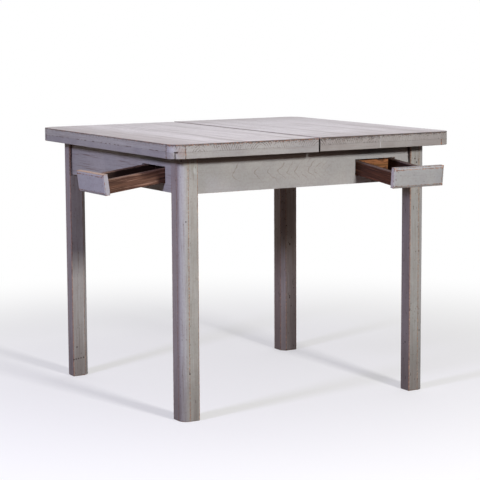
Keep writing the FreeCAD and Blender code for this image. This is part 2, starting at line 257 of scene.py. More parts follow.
def top_colour(tree, along, across, cloud, paints, rim_darkening):
    """Paint of the table top, lighter than the sides as a painted sheen: in bands along the grain, mottled,
    and darker towards the rims.
    """
    clean, dull, darkest = paints
    bands = noise_at(tree, along_grain(tree, along, across, 34), 24 * mm, 4, 0.6)
    mottle = noise_at(tree, along_grain(tree, along, across, 1.6), 13 * mm, 3, 0.65)
    uneven = reckon(tree, "MULTIPLY_ADD", cloud, 0.25, times(tree, bands, 0.5))
    uneven = reckon(tree, "MULTIPLY_ADD", mottle, 0.25, uneven)
    colour = blend(tree, ramp(tree, uneven, 0.42, 0.6), clean, dull)
    colour = blend(tree, ramp(tree, bands, 0.54, 0.66, 0.0, 0.65), colour, darkest)
    rims = []
    for axis, start, share in (("X", 0.28, rim_darkening[0]), ("Y", 0.2, rim_darkening[1])):
        from_middle = reckon(tree, "ABSOLUTE", place_along(tree, axis))
        rims.append(ramp(tree, from_middle, start, 0.45, 0.0, share))
    return blend(tree, reckon(tree, "MAXIMUM", *rims), colour, darkest)


def seam_colour(tree, colour, seam_place, seam_top):
    """Adds painted shade on the inside of the seam between the halves of the top, and the rubbed paint
    beside it.
    """
    from_seam = reckon(tree, "ABSOLUTE", reckon(tree, "SUBTRACT", place_along(tree, "X"), seam_place))
    above = ramp(tree, place_along(tree, "Z"), seam_top - 5 * mm, seam_top - 3 * mm)
    # Painted shade inside the seam, lighter in its top few millimetres.
    inside = ramp(tree, from_seam, 2.4 * mm, 3.0 * mm, 1.0, 0.0)
    inside = times(tree, inside, reckon(tree, "MULTIPLY_ADD", above, -0.75, 1.0))
    colour = blend(tree, inside, colour, tones["shade_in_seam"])
    rubbed_seam = times(tree, ramp(tree, from_seam, 3 * mm, 8 * mm, 0.5, 0.0), above)
    return blend(tree, rubbed_seam, colour, tones["rubbed_seam"])


def painted_pine(piece, along, across, paint, shade, top_sheen_paints=None, end_light_paint=None, under=None,
                 left_face_shade=None, corner_highlight=None, rubbed=0.5, streaks=0.4, arches=None, arch_share=0.3,
                 hatch=0.0, holes=(), chips=(), patches=(), pits=0.0, heart_line=(0, 0, 0),
                 filled_joint=None, seam=None, rim_darkening=(0.0, 0.0), overhang_shade=None, rough=(0.58, 0.72),
                 gloss=0.2, sheen=0.0, foot=None, chip_size=4.5 * mm, worn_tones=("#54392c", "#b0703f"),
                 worn_share=0.9, handled=0.0):
    """Chalk paint brushed on old pine: matt and a little chalky, thin enough to let the raised grain
    through, and rubbed to brown wood along the arrises. The top is greyer from use, and painted brighter as
    a painted sheen of the light glancing off it.

    piece ends the material's name. The paints besides paint and shade are for the top, lighter as a painted
    sheen, the ends, painted with the light that falls on them, the underside, the left face, darker as
    painted shade, and the round corner, bluish as a painted highlight. rubbed, streaks, hatch, pits, handled
    and the shares say how strong a mark is. The foot height says how far up the paint darkens as painted
    shade towards the floor, the overhang pair (height, reach) places the painted shade under an overhang,
    holes and chips are places, and patches are (place, reach, share, colour).
    """
    material, tree, shader = new_material("grey_chalk_paint_on_" + piece)
    place = add(tree, "TexCoord").outputs["Object"]
    fibres = noise_at(tree, along_grain(tree, along, across, 40), 2.4 * mm, 3, 0.6)
    strokes = noise_at(tree, along_grain(tree, along, across, 16), 14 * mm, 3, 0.6)
    cloud = noise_at(tree, place, 90 * mm, 2, 0.5)
    fleck = noise_at(tree, place, chip_size, 3, 0.65)
    grit = noise_at(tree, place, 6 * mm, 3, 0.7)
    upward = ramp(tree, facing(tree, up), 0.6, 0.9)
    endways = ramp(tree, reckon(tree, "ABSOLUTE", facing(tree, along)), 0.6, 0.85)
    lengthways = reckon(tree, "SUBTRACT", 1.0, endways)

    colour = blend(tree, ramp(tree, cloud, 0.35, 0.65), paint, shade)

    def coat(share, tone):
        """Lays a tone over the colour so far, by a share."""
        nonlocal colour
        colour = blend(tree, share, colour, tone)

    # The paint itself, by the way a surface faces.
    # The ends of a drawer front take their own paint: painted light of the lamps on the ends.
    if end_light_paint:
        coat(endways, end_light_paint)
    if under:
        coat(ramp(tree, facing(tree, -up), 0.6, 0.9), under)
    # Faces that look left are painted darker and more purple: painted shade under the lamp's tint.
    if left_face_shade:
        coat(ramp(tree, facing(tree, -right), 0.8, 0.98), left_face_shade)
    # The round corner of a leg is painted bluish: a painted highlight of the left lamp.
    if corner_highlight:
        slant = [reckon(tree, "ABSOLUTE", facing(tree, direction)) for direction in (right, back)]
        round_highlight = ramp(tree, times(tree, *slant), 0.15, 0.48, 0.0, 0.42)
        coat(round_highlight, corner_highlight)
    # The top takes a lighter paint: a painted sheen of the light glancing off it.
    if top_sheen_paints:
        top_with_sheen = top_colour(tree, along, across, cloud, top_sheen_paints, rim_darkening)
        coat(upward, top_with_sheen)

    # Brush strokes, thin over the raised grain and thick between it, dirt in the paint, and painted shade
    # towards the floor and under the top.
    coat(ramp(tree, grit, 0.42, 0.62, 0.0, 0.2), tones["grit"])
    thin = times(tree, ramp(tree, fibres, 0.46, 0.72), ramp(tree, strokes, 0.34, 0.62))
    thin = times(tree, times(tree, thin, lengthways), streaks)
    coat(thin, tones["thin_paint"])
    thick = ramp(tree, strokes, 0.55, 0.35, 0.0, 0.6 * streaks)
    thick = times(tree, ramp(tree, fibres, 0.48, 0.3), thick)
    coat(thick, tones["thick_paint"])
    # Painted shade towards the floor: the paint darker up to the foot height, broken by the brush strokes.
    if foot:
        foot_shade = ramp(tree, strokes, 0.25, 0.6, 0.6, 1.1)
        foot_shade = times(tree, ramp(tree, place_along(tree, "Z"), 0.0, foot, 0.5, 0.0), foot_shade)
        coat(foot_shade, tones["shade_at_foot"])
    # Painted shade under the overhang of the top: darker towards the top of the aprons and legs.
    if overhang_shade:
        shade_top, reach = overhang_shade
        height = place_along(tree, "Z")
        shade_under_top = ramp(tree, height, shade_top - reach, shade_top - 0.4 * reach, 0.0, 0.65)
        coat(shade_under_top, tones["shade_under_top"])

    # Growth rings along the wood and on its ends.
    relief = reckon(tree, "MULTIPLY_ADD", fibres, 0.6, times(tree, grit, 0.5))
    if arches:
        late_wood = cathedral(tree, along, across, *arches)
        broken = noise_at(tree, place, 22 * mm, 2, 0.6)
        late_wood = times(tree, late_wood, ramp(tree, broken, 0.38, 0.62, 0.12, 1.0))
        late_wood = times(tree, late_wood, lengthways)
        coat(times(tree, late_wood, arch_share), tones["late_wood"])
        relief = reckon(tree, "MULTIPLY_ADD", late_wood, 0.5, relief)
    if hatch:
        arcs = end_arcs(tree, along, across, 6.5 * mm, 95 * mm, heart_line)
        scuffed = ramp(tree, noise_at(tree, place, 18 * mm, 2, 0.6), 0.4, 0.6)
        saw_marks = times(tree, ramp(tree, arcs, 0.6, 1.0), scuffed)
        saw_marks = times(tree, times(tree, saw_marks, endways), hatch)
        coat(saw_marks, tones["saw_marks"])

    # Repairs and patches.
    if filled_joint is not None:
        from_joint = reckon(tree, "SUBTRACT", place_along(tree, "X"), filled_joint)
        filled = ramp(tree, reckon(tree, "ABSOLUTE", from_joint), 0.7 * mm, 1.5 * mm, 0.5, 0.0)
        filler = times(tree, filled, ramp(tree, facing(tree, -back), 0.7, 0.9))
        coat(filler, tones["filler"])
    for patch_place, reach, share, tint in patches:
        brushed = ramp(tree, strokes, 0.3, 0.55, 0.5, 1.0)
        patch = times(tree, spots(tree, [patch_place], reach), brushed)
        coat(times(tree, patch, share), tint)

    # Wood where the paint is rubbed or chipped away.
    edge = add(tree, "Attribute", attribute_name="arris").outputs["Fac"]
    ragged = reckon(tree, "MULTIPLY_ADD", reckon(tree, "SUBTRACT", fleck, 0.5), 1.3, edge)
    worn = ramp(tree, ragged, 1.0 - 0.5 * rubbed, 1.1 - 0.5 * rubbed)
    if chips:
        torn = times(tree, spots(tree, chips, 4 * mm), ramp(tree, fleck, 0.38, 0.48))
        worn = reckon(tree, "MAXIMUM", worn, torn)
    wood_tone = noise_at(tree, place, 1.3 * chip_size, 2, 0.6)
    wood = blend(tree, ramp(tree, wood_tone, 0.5, 0.62), *worn_tones)
    coat(times(tree, worn, worn_share), wood)
    if handled:
        grip = ramp(tree, facing(tree, up), 0.25, 0.6, 0.0, handled)
        grip = times(tree, grip, ramp(tree, strokes, 0.3, 0.55))
        coat(grip, tones["touched_wood"])

    # Cracks, the seam, pores and nail holes.
    crack = add(tree, "Attribute", attribute_name="crack").outputs["Fac"]
    coat(ramp(tree, crack, 0.2, 0.55), tones["crack"])
    if seam:
        colour = seam_colour(tree, colour, *seam)
    if pits:
        pores = noise_at(tree, along_grain(tree, along, across, 2.2), 5 * mm, 1, 0.5)
        coat(ramp(tree, pores, 0.7, 0.74, 0.0, pits), tones["pores"])
    if holes:
        coat(spots(tree, holes, 2.6 * mm), tones["nail_holes"])

    relief = reckon(tree, "MULTIPLY_ADD", worn, -1.0, relief)
    wire(tree, shader, colour, ramp(tree, fibres, 0.3, 0.8, *rough), (relief, 0.5, 0.25 * mm),
         Specular_IOR_Level=gloss, Sheen_Weight=sheen, Sheen_Roughness=0.5)
    return material


def stained_pine(name, along, across, stain, shade, line, rim, blotches=0.0):
    """Old stained pine of the drawer boxes: dry, with fine lengthwise fibres and pale rubbed rims."""
    material, tree, shader = new_material(name)
    place = add(tree, "TexCoord").outputs["Object"]
    fibres = noise_at(tree, along_grain(tree, along, across, 45), 2.6 * mm, 4, 0.65)
    bands = noise_at(tree, along_grain(tree, along, across, 14), 9 * mm, 2, 0.5)
    fleck = noise_at(tree, place, 5 * mm, 3, 0.6)
    dark_fibre, blotch_tone, inner_shade = "#1f1310", "#3a2318", "#150c09"

    colour = blend(tree, ramp(tree, bands, 0.35, 0.65), stain, shade)
    colour = blend(tree, ramp(tree, fibres, 0.52, 0.68, 0.0, 0.75), colour, line)
    colour = blend(tree, ramp(tree, fibres, 0.32, 0.47, 0.9, 0.0), colour, dark_fibre)
    if blotches:
        blotch = noise_at(tree, along_grain(tree, along, across, 2), 16 * mm, 3, 0.6)
        colour = blend(tree, ramp(tree, blotch, 0.48, 0.6, 0.0, blotches), colour, blotch_tone)
    # Painted shade on the inner faces of the drawer boxes, carried by the crack attribute.
    painted_shade = add(tree, "Attribute", attribute_name="crack").outputs["Fac"]
    colour = blend(tree, painted_shade, colour, inner_shade)
    edge = add(tree, "Attribute", attribute_name="arris").outputs["Fac"]
    ragged = reckon(tree, "MULTIPLY_ADD", reckon(tree, "SUBTRACT", fleck, 0.5), 0.9, edge)
    colour = blend(tree, ramp(tree, ragged, 0.3, 0.7, 0.0, 0.85), colour, rim)
    wire(tree, shader, colour, ramp(tree, fibres, 0.3, 0.8, 0.62, 0.8), (fibres, 0.7, 0.3 * mm),
         Specular_IOR_Level=0.15)
    return material


def bare_pine(name, along, across):
    """Unpainted pine inside the table, browned by age and left as it was planed."""
    return stained_pine(name, along, across, "#8d6a48", "#7b5b3d", "#a58358", "#b08c63")


def dull_steel(name):
    """Plain iron screw with a grey oxide skin: dark, uneven and half matt."""
    material, tree, shader = new_material(name)
    place = add(tree, "TexCoord").outputs["Object"]
    rust = noise_at(tree, place, 1.5 * mm, 3, 0.6)
    colour = blend(tree, ramp(tree, rust, 0.4, 0.65), "#7c7a76", "#5a4a40")
    wire(tree, shader, colour, ramp(tree, rust, 0.3, 0.7, 0.35, 0.6), Metallic=1.0)
    return material


# -------------------- worn wood as meshes


def wander(place, size, seed):
    """Smooth noise from 0 to 1 at a place, with marks of about a size."""
    return 0.5 + 0.5 * noise.noise(place / size + Vector((seed, 3.1 * seed, -1.7 * seed)))


def wear_at(place, seed):
    """How far an arris is rubbed or chipped at a place, mostly little and now and then to 1."""
    chip = max(0.0, wander(place, 5 * mm, seed) - 0.42) / 0.4
    stretch = 0.35 + 0.65 * wander(place, 45 * mm, seed + 9)
    return min(1.0, chip) * stretch


def inset_corners(corners, inset):
    """Outline corners (x, y, radius) moved inward, with their radii made smaller by as much."""
    points = [Vector((x, y)) for x, y, _ in corners]
    area = sum(a.cross(b) for a, b in zip(points, points[1:] + points[:1]))
    side = 1 if area > 0 else -1
    moved = []
    for i, (_, _, radius) in enumerate(corners):
        before = (points[i] - points[i - 1]).normalized()
        after = (points[(i + 1) % len(points)] - points[i]).normalized()
        first = Vector((-before.y, before.x)) * side
        second = Vector((-after.y, after.x)) * side
        shift = (first + second) / (1 + first.dot(second)) * inset
        place = points[i] + shift
        moved.append((place.x, place.y, max(radius - inset, 0.3 * mm)))
    return moved


def side_stops(length, step):
    """Distances along a straight side: close together near its ends and a step apart between."""
    near = [stop for stop in arris_stops if stop < length / 2 - 0.5 * mm]
    if not near:
        return [0.0, length]
    start, end = near[-1], length - near[-1]
    count = max(1, round((end - start) / step))
    middle = [start + (end - start) * i / count for i in range(count + 1)]
    return [0.0] + near[:-1] + middle + [length - stop for stop in reversed(near[:-1])] + [length]


def outline_plan(corners, step):
    """How each side and arc of an outline is divided, so that every ring has the same points."""
    plan = []
    for i, (x, y, radius) in enumerate(corners):
        next_x, next_y, next_radius = corners[(i + 1) % len(corners)]
        length = math.hypot(next_x - x, next_y - y) - radius - next_radius
        arc_parts = 3 if radius < least_round else 12
        plan.append((arc_parts, [stop / length for stop in side_stops(length, step)]))
    return plan


def corner_arc(points, radii, i):
    """Start, end, centre and turn of the arc at a corner of an outline."""
    point = points[i]
    before = (points[i - 1] - point).normalized()
    after = (points[(i + 1) % len(points)] - point).normalized()
    half_angle = before.angle(after) / 2
    reach = radii[i] / math.tan(half_angle)
    start, end = point + before * reach, point + after * reach
    centre = point + (before + after).normalized() * (radii[i] / math.sin(half_angle))
    return start, end, centre, (start - centre).angle_signed(end - centre)


def ring_points(corners, plan):
    """Points of one ring: place, inward direction, gap to the nearest sharp corner and to the nearest
    line where a round corner begins, and the two sides that it lies between."""
    points = [Vector((x, y)) for x, y, _ in corners]
    radii = [radius for _, _, radius in corners]
    arcs = [corner_arc(points, radii, i) for i in range(len(points))]
    far_away = 1.0
    ring = []
    for i, (start, end, centre, sweep) in enumerate(arcs):
        arc_parts, stops = plan[i]
        sharp = radii[i] < least_round
        for part in range(arc_parts + 1):
            turned = start - centre
            turned.rotate(Matrix.Rotation(-sweep * part / arc_parts, 2))
            to_tangent = min(part, arc_parts - part) / arc_parts * abs(sweep) * radii[i]
            gaps = (0.0, far_away) if sharp else (far_away, to_tangent)
            ring.append((centre + turned, -turned.normalized(), gaps, (i - 1, i)))
        following = (i + 1) % len(points)
        far_sharp = radii[following] < least_round
        side = arcs[following][0] - end
        inward = (centre - end).normalized()
        for stop in stops[1:-1]:
            near_gap, far_gap = stop * side.length, (1 - stop) * side.length
            sharp_gap = min(near_gap if sharp else far_away, far_gap if far_sharp else far_away)
            tangent_gap = min(far_away if sharp else near_gap, far_away if far_sharp else far_gap)
            ring.append((end + side * stop, inward, (sharp_gap, tangent_gap), (i, i)))
    return ring


# How far the points of each ring of a worn end move inward and along the post, as shares of the cut.
ring_leans = {"cap": (0, 0), "flat": (1, 0), "middle": (0.3, 0.3), "side": (0, 1), "plain": (0, 0)}
unworn_round = 0.3


def worn_prism(name, corners, low_end, high_end, step, rise=None, side_wear=None, tangent_wear=0.0,
               tangent_reach=rub_reach, end_reach=rub_reach, seed=1.0):
    """Upright board or post with a worn outline and worn ends.

    An end is (height, radius, wear depth, wear of each side, crack of each side). side_wear is the wear
    depth of the upright arrises at the corners, and rise the distance between the rings of a post. The
    reaches say how far the rubbed paint spreads from the round corners and from the arrises of the ends.
    The radius of an end shrinks to unworn_round of it along a side without wear, such as a glued joint.
    """
    plan = outline_plan(corners, step)
    side_wear = side_wear or [0.0] * len(corners)
    even = [0.0] * len(corners)
    rings = []
    for end, sign in ((low_end, 1), (high_end, -1)):
        height, radius, depth, wear, crack = end
        deepest = radius + depth + 0.4 * mm
        tallest = (radius + depth) * (1 + 2 * max(crack)) + 0.4 * mm
        group = [(height, sign, deepest + 3 * mm, "cap", end), (height, sign, deepest, "cap", end)]
        group += [(height, sign, 0.0, kind, end) for kind in ("flat", "middle", "side")]
        group += [(height + sign * stop, sign, 0.0, "plain", end) for stop in (tallest, arris_reach)]
        rings.append(group)
    between = []
    if rise:
        low, high = low_end[0] + arris_reach, high_end[0] - arris_reach
        count = max(1, round((high - low) / rise))
        flat_end = (0.0, 0.0, 0.0, even, even)
        between = [(low + (high - low) * i / count, 1, 0.0, "plain", flat_end) for i in range(1, count)]

    verts, arris, cracks = [], [], []
    for height, sign, inset, kind, (_, radius, depth, wear, crack) in rings[0] + between + rings[1][::-1]:
        worn_corners = []
        for i, (x, y, corner_radius) in enumerate(corners):
            if corner_radius < least_round:
                corner_radius += side_wear[i] * wear_at(Vector((x, y, height)), seed + i)
            worn_corners.append((x, y, corner_radius))
        ring = ring_points(inset_corners(worn_corners, inset), plan)
        for point, inward, (sharp_gap, tangent_gap), (i, j) in ring:
            place = Vector((point.x, point.y, height))
            rub = wear_at(place, seed + 4)
            side_share = (wear[i] + wear[j]) / 2
            cut = radius * (1.0 if side_share else unworn_round) + depth * side_share * rub
            open_here = min(1.0, 3 * max(0.0, wander(place, 16 * mm, seed + 7) - 0.38))
            gap = min(crack[i], crack[j]) * open_here
            lean_inward, lean_along = ring_leans[kind]
            point = point + inward * cut * lean_inward
            verts.append(Vector((point.x, point.y, height + sign * cut * lean_along * (1 + 2 * gap))))
            on_arris = kind in ("flat", "middle", "side")
            from_end = abs(height - (low_end if sign > 0 else high_end)[0])
            at_end = side_share * (0.6 + 0.4 * rub) * max(0.0, 1 - from_end / end_reach)
            along_post = max(0.0, 1 - sharp_gap / rub_reach) if any(side_wear) else 0.0
            on_tangent = tangent_wear * max(0.0, 1 - tangent_gap / tangent_reach)
            arris.append(0.0 if kind == "cap" else max(at_end, along_post, on_tangent))
            cracks.append(gap if on_arris else 0.0)
    return skin(name, verts, len(verts) // (len(rings[0]) + len(between) + len(rings[1])), arris, cracks)


def skin(name, verts, per_ring, arris, cracks):
    """Closed mesh over rings of equal count, with its wear as attributes."""
    rings = len(verts) // per_ring
    faces = []
    for r in range(rings - 1):
        for i in range(per_ring):
            j = (i + 1) % per_ring
            a, b = r * per_ring, (r + 1) * per_ring
            faces.append((a + i, a + j, b + j, b + i))
    faces.append(tuple(reversed(range(per_ring))))
    faces.append(tuple(range((rings - 1) * per_ring, rings * per_ring)))
    mesh = bpy.data.meshes.new(name)
    mesh.from_pydata([tuple(v) for v in verts], [], faces)
    volume = sum(mesh.vertices[f.vertices[0]].co.dot(f.normal) * f.area for f in mesh.polygons)
    if volume < 0:
        mesh.flip_normals()
    return worn_object(name, mesh, arris, cracks)


def worn_object(name, mesh, arris, cracks):
    """Object of a mesh with its wear as attributes, smooth on rounds and sharp on arrises."""
    for attribute_name, values in (("arris", arris), ("crack", cracks)):
        attribute = mesh.attributes.new(attribute_name, "FLOAT", "POINT")
        attribute.data.foreach_set("value", values)
    mesh.shade_smooth()
    mesh.set_sharp_from_angle(angle=math.radians(32))
    made = bpy.data.objects.new(name, mesh)
    bpy.context.scene.collection.objects.link(made)
    return made


def put_on(piece, node, material):
    """Gives a piece its finish and lets it stand for a node of the model, on that node's body."""
    piece.data.materials.clear()
    piece.data.materials.append(material)
    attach(piece, nodes[node]["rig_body"])
    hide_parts(node)


def finish_node(node, material):
    """Gives a node of the model its finish and keeps its shape."""
    nodes[node].data.materials.clear()
    nodes[node].data.materials.append(material)


def arris_marks(work):
    """Points every few millimetres along the outward arrises of a mesh, fillets included."""
    marks = []
    for edge in work.edges:
        if len(edge.link_faces) != 2 or not edge.is_convex:
            continue
        bend = math.degrees(edge.calc_face_angle(0.0))
        narrow = any(face.calc_area() / max(e.calc_length() for e in face.edges) < 1.0 * mm
                     for face in edge.link_faces)
        if bend > 15 or (bend > 3 and narrow):
            a, b = (vert.co for vert in edge.verts)
            count = max(1, math.ceil((b - a).length / (2 * mm)))
            marks += [a.lerp(b, i / count) for i in range(count + 1)]
    return marks


def flat_heights(work, axis):
    """Where the flat faces of a mesh stand along an axis."""
    heights = set()
    for face in work.faces:
        if abs(face.normal[axis]) > 0.999 and face.calc_area() > 40 * mm * mm:
            heights.add(round(face.calc_center_median()[axis], 5))
    return heights


def weathered(node, material, frame_axes=(right, back, up), wear=lambda place: 1.0, lines=(),
              cuts=(), shrink=None, painted_shade=lambda place: 0.0):
    """Copy of a node, cut finer beside its arrises, which carries their wear for the finish.

    wear gives a share from 0 to 1 at a place. lines are upright lines (x, y) that are rubbed too. cuts are
    further (axis, place) cuts, shrink gives the place of a point after the wood has shrunk, and the last
    argument gives the share of painted shade at a place, which the crack attribute carries.
    """
    turn = Matrix(frame_axes).to_4x4()
    work = bmesh.new()
    work.from_mesh(nodes[node].data)
    work.transform(turn)
    bmesh.ops.remove_doubles(work, verts=work.verts, dist=0.01 * mm)
    edges, verts = list(work.edges), list(work.verts)
    bmesh.ops.dissolve_limit(work, angle_limit=math.radians(0.5), verts=verts, edges=edges)
    marks = arris_marks(work)
    tree = kdtree.KDTree(len(marks))
    for i, mark in enumerate(marks):
        tree.insert(mark, i)
    tree.balance()
    all_cuts = list(cuts)
    for axis in range(3):
        places = [vert.co[axis] for vert in work.verts]
        low, high = min(places), max(places)
        for height in flat_heights(work, axis):
            for stop in arris_stops:
                all_cuts += [(axis, at) for at in (height - stop, height + stop) if low < at < high]
    bmesh.ops.triangulate(work, faces=work.faces)
    for axis, at in all_cuts:
        normal = Vector((axis == 0, axis == 1, axis == 2))
        geometry = list(work.verts) + list(work.edges) + list(work.faces)
        bmesh.ops.bisect_plane(work, geom=geometry, dist=0.001 * mm, plane_co=normal * at, plane_no=normal)
    work.verts.index_update()
    arris, cracks = [], []
    for vert in work.verts:
        _, _, gap = tree.find(vert.co)
        place = turn.inverted() @ vert.co
        line_gap = min([math.dist(line, place.xy) for line in lines], default=1.0)
        on_line = max(0.0, 1 - line_gap / rub_reach)
        arris.append(max(max(0.0, 1 - gap / rub_reach) * wear(place), on_line))
        # The painted shade goes into the crack attribute.
        cracks.append(painted_shade(place))
        if shrink:
            vert.co = shrink(vert.co)
    work.transform(turn.inverted())
    mesh = bpy.data.meshes.new("worn_" + node)
    work.to_mesh(mesh)
    work.free()
    put_on(worn_object("worn_" + node, mesh, arris, cracks), node, material)


def foot_corners(node, out, across, rise):
    """The two lower outer corners of a drawer front, where it is knocked most."""
    points = [vert.co for vert in nodes[node].data.vertices]
    outermost = max(point.dot(out) for point in points)
    outer = [point for point in points if point.dot(out) > outermost - 14 * mm]
    lowest = min(point.dot(rise) for point in outer)
    foot = [point for point in outer if point.dot(rise) < lowest + 0.5 * mm]
    ends = (min(foot, key=lambda point: point.dot(across)), max(foot, key=lambda point: point.dot(across)))
    return [Vector(point) for point in ends]


# -------------------- camera, floor and light

camera = bpy.data.objects.new("camera", bpy.data.cameras.new("camera"))
bpy.context.scene.collection.objects.link(camera)
bpy.context.scene.camera = camera
camera.data.sensor_width = 36
camera.data.lens = 128.158
camera.data.clip_end = 60
yaw, pitch, roll = math.radians(30.235), math.radians(7.577), math.radians(-0.306)
ahead = Vector((math.sin(yaw) * math.cos(pitch), math.cos(yaw) * math.cos(pitch), -math.sin(pitch)))
level = Vector((math.cos(yaw), -math.sin(yaw), 0))
upward = level.cross(ahead)
camera_right = level * math.cos(roll) + upward * math.sin(roll)
camera_up = upward * math.cos(roll) - level * math.sin(roll)
camera_turn = Matrix((camera_right, camera_up, -ahead)).transposed()
camera.matrix_world = Matrix.Translation((-2.61043, -4.47885, 1.12996)) @ camera_turn.to_4x4()


def softbox(name, place, aim, width, power, colour):
    """Square area light that faces a point."""
    light = bpy.data.lights.new(name, "AREA")
    light.size = width
    light.energy = power
    light.color = linear(colour)[:3]
    lamp = bpy.data.objects.new(name, light)
    bpy.context.scene.collection.objects.link(lamp)
    lamp.location = place
    lamp.rotation_euler = (Vector(aim) - Vector(place)).to_track_quat("-Z", "Y").to_euler()


softbox("front_softbox", (0.25, -4.2, 2.16), (0, 0, 0.5), 0.5, 163, "#ffffff")
softbox("left_softbox", (-3.4, -1.1, 1.95), (0, 0, 0.5), 0.5, 84, "#dad9ff")


def shown_rays(tree):
    """1 for the rays that show a background: straight ones, reflected ones and those through glass."""
    rays = add(tree, "LightPath").outputs
    shown = reckon(tree, "MAXIMUM", rays["Is Camera Ray"], rays["Is Transmission Ray"])
    return reckon(tree, "MAXIMUM", shown, rays["Is Glossy Ray"])


world = bpy.data.worlds.new("studio")
bpy.context.scene.world = world
world.use_nodes = True
sky = world.node_tree
sky.nodes.clear()
sky_place = add(sky, "TexCoord").outputs["Generated"]
sky_height = add(sky, "SeparateXYZ", {0: sky_place}).outputs["Z"]
behind = (0.5, 0.866, 0.0)
towards_behind = add(sky, "VectorMath", {0: sky_place, 1: behind}, operation="DOT_PRODUCT").outputs["Value"]
# The room is a little brighter overhead, and much brighter behind the table.
fill_strength = ramp(sky, sky_height, 0.0, 0.9, 0.0, 0.26)
fill_strength = reckon(sky, "ADD", fill_strength, ramp(sky, towards_behind, 0.1, 0.9, 0.0, 0.75))
fill = add(sky, "Background", {"Color": linear("#f4f2fa"), "Strength": fill_strength})
white = add(sky, "Background", {"Color": linear("#ffffff"), "Strength": 1.0})
either = add(sky, "MixShader", {0: shown_rays(sky), 1: fill.outputs[0], 2: white.outputs[0]})
add(sky, "OutputWorld", {"Surface": either.outputs[0]})

floor_mesh = bpy.data.meshes.new("floor")
floor_radius, floor_sides = 14, 64
turns = [math.tau * i / floor_sides for i in range(floor_sides)]
floor_rim = [(floor_radius * math.cos(turn), floor_radius * math.sin(turn), 0) for turn in turns]
floor_mesh.from_pydata(floor_rim, [], [tuple(range(floor_sides))])
floor = bpy.data.objects.new("floor", floor_mesh)
bpy.context.scene.collection.objects.link(floor)
floor_material, floor_tree, floor_shader = new_material("pale_studio_floor")
floor_seen = shown_rays(floor_tree)
# The floor is pale to look at, and throws a brown light up under the table.
floor_colour = blend(floor_tree, floor_seen, "#5f4335", "#f0eeed")
floor_tree.links.new(floor_colour, floor_shader.inputs["Base Color"])
floor_shader.inputs["Roughness"].default_value = 0.9
floor_shader.inputs["Specular IOR Level"].default_value = 0.1
floor_place = add(floor_tree, "TexCoord").outputs["Object"]
distance = add(floor_tree, "VectorMath", {0: floor_place}, operation="LENGTH").outputs["Value"]
fade = times(floor_tree, ramp(floor_tree, distance, 0.6, 2.3, 0.42, 1.0), floor_seen)
glow = add(floor_tree, "Emission", {"Color": linear("#ffffff"), "Strength": 1.0})
blended = add(floor_tree, "MixShader", {0: fade, 1: floor_shader.outputs[0], 2: glow.outputs[0]})
floor_output = next(node for node in floor_tree.nodes if node.type == "OUTPUT_MATERIAL")
floor_tree.links.new(blended.outputs[0], floor_output.inputs["Surface"])
floor_mesh.materials.append(floor_material)

# -------------------- bare wood and steel

pine_lengthwise = bare_pine("bare_pine_along_x", right, up)
pine_crosswise = bare_pine("bare_pine_along_y", back, up)
pine_upright = bare_pine("bare_pine_upright", up, right)
bare_nodes = {
    pine_lengthwise: "front_sill_rod back_sill_rod left_drawer_guides right_drawer_guides guide_rail_front "
                     "guide_rail_back left_top_runner_front left_top_runner_back right_top_runner_front "
                     "right_top_runner_back tenon_pegs",
    pine_crosswise: "left_sill_rod right_sill_rod front_drawer_guides back_drawer_guides "
                    "drawer_bearer_left_outer drawer_bearer_left_inner drawer_bearer_right_outer "
                    "drawer_bearer_right_inner",
    pine_upright: "glue_blocks",
}
for pine, names in bare_nodes.items():
    for node in names.split():
        finish_node(node, pine)
steel = dull_steel("dull_screw_steel")
for side in ("left", "right"):
    finish_node(side + "_runner_screws", steel)

# -------------------- legs

apron_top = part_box("front_apron")[1].z
# Of each leg: its paint and shade, the paint of its left face, darker as painted shade, and of its round
# corner, bluish as a painted highlight, how strong its pores are, and where it has nail holes and knots.
legs = {
    "front_left": {
        "paints": ("#a4a29b", "#9a9992"), "left": "#958d88", "corner": "#b0b1b6", "pits": 0.4,
        "holes": [(-0.397, -0.3875, 0.562), (-0.4225, -0.384, 0.333), (-0.389, -0.3875, 0.136),
                  (-0.4062, -0.3802, 0.7293)]},
    "front_right": {
        "paints": ("#9a9994", "#90908b"), "left": "#8e8581", "corner": "#a8a8ae", "pits": 0.8,
        "holes": [(0.374, -0.3875, 0.700), (0.380, -0.3875, 0.689), (0.358, -0.367, 0.147)]},
    # The back right leg stands under the table, and its darker paint is painted shade.
    "back_right": {
        "paints": ("#908680", "#877e78"), "left": "#83746c", "corner": "#8c878a", "pits": 0.7,
        "holes": [(0.358, 0.349, 0.186), (0.358, 0.349, 0.192), (0.3855, 0.3325, 0.180),
                  (0.3855, 0.3325, 0.186), (0.3865, 0.3325, 0.360), (0.3865, 0.3325, 0.363),
                  (0.373, 0.3325, 0.425), (0.373, 0.3325, 0.003)]},
    "back_left": {
        "paints": ("#a4a19b", "#9b9892"), "left": "#938b8a", "corner": "#b0b0b5", "pits": 0.5,
        "holes": [(-0.400, 0.3325, 0.093), (-0.411, 0.3325, 0.054), (-0.404, 0.3325, 0.055),
                  (-0.396, 0.3325, 0.056), (-0.387, 0.3325, 0.057), (-0.378, 0.3325, 0.058)]},
}
